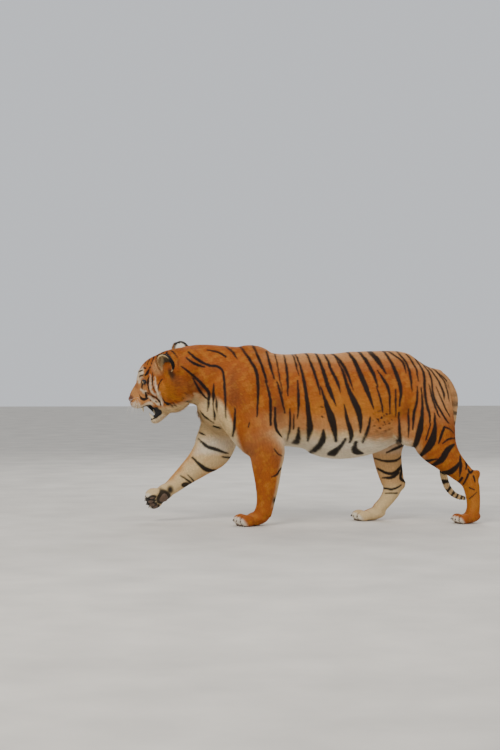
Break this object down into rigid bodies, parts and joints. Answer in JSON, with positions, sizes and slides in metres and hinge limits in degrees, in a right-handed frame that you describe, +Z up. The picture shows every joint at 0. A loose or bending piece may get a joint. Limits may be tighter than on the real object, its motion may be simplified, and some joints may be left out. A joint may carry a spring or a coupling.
{
  "type": "tiger figure",
  "caption": "Life-size still model of a walking striped tiger, mouth open, one forepaw lifted and three paws on the ground.",
  "frame": {"origin": "middle of the model's footprint, on the floor under its three standing paws", "axes": "+Z up; the tiger faces -X and its left side is towards -Y"},
  "size_m": [1.836, 0.447, 0.9581],
  "materials": {
    "coat": "orange coat with black stripes",
    "pale_coat": "cream coat of the chin and lower jaw",
    "ear_coat": "black coat of the ears' backs",
    "nose_leather": "bare damp skin",
    "eye": "wet amber eyeball",
    "tooth": "ivory enamel",
    "tongue": "moist pink"
  },
  "bodies": {
    "root": {"belly": "coat", "canine_lower_left": "tooth", "canine_lower_right": "tooth", "canine_upper_left": "tooth", "canine_upper_right": "tooth", "chest": "coat", "ear_left": "ear_coat", "ear_right": "ear_coat", "eye_left": "eye", "eye_right": "eye", "foreleg_left_lower": "coat", "foreleg_left_upper": "coat", "foreleg_right_lower": "coat", "foreleg_right_upper": "coat", "forepaw_left": "coat", "forepaw_right": "coat", "head": "coat", "hindleg_left_lower": "coat", "hindleg_left_upper": "coat", "hindleg_right_lower": "coat", "hindleg_right_upper": "coat", "hindpaw_left": "coat", "hindpaw_right": "coat", "jaw": "pale_coat", "neck": "coat", "nose": "nose_leather", "rump": "coat", "tail_base": "coat", "tail_middle": "coat", "tail_tip": "coat", "tongue": "tongue"}
  },
  "joints": []
}
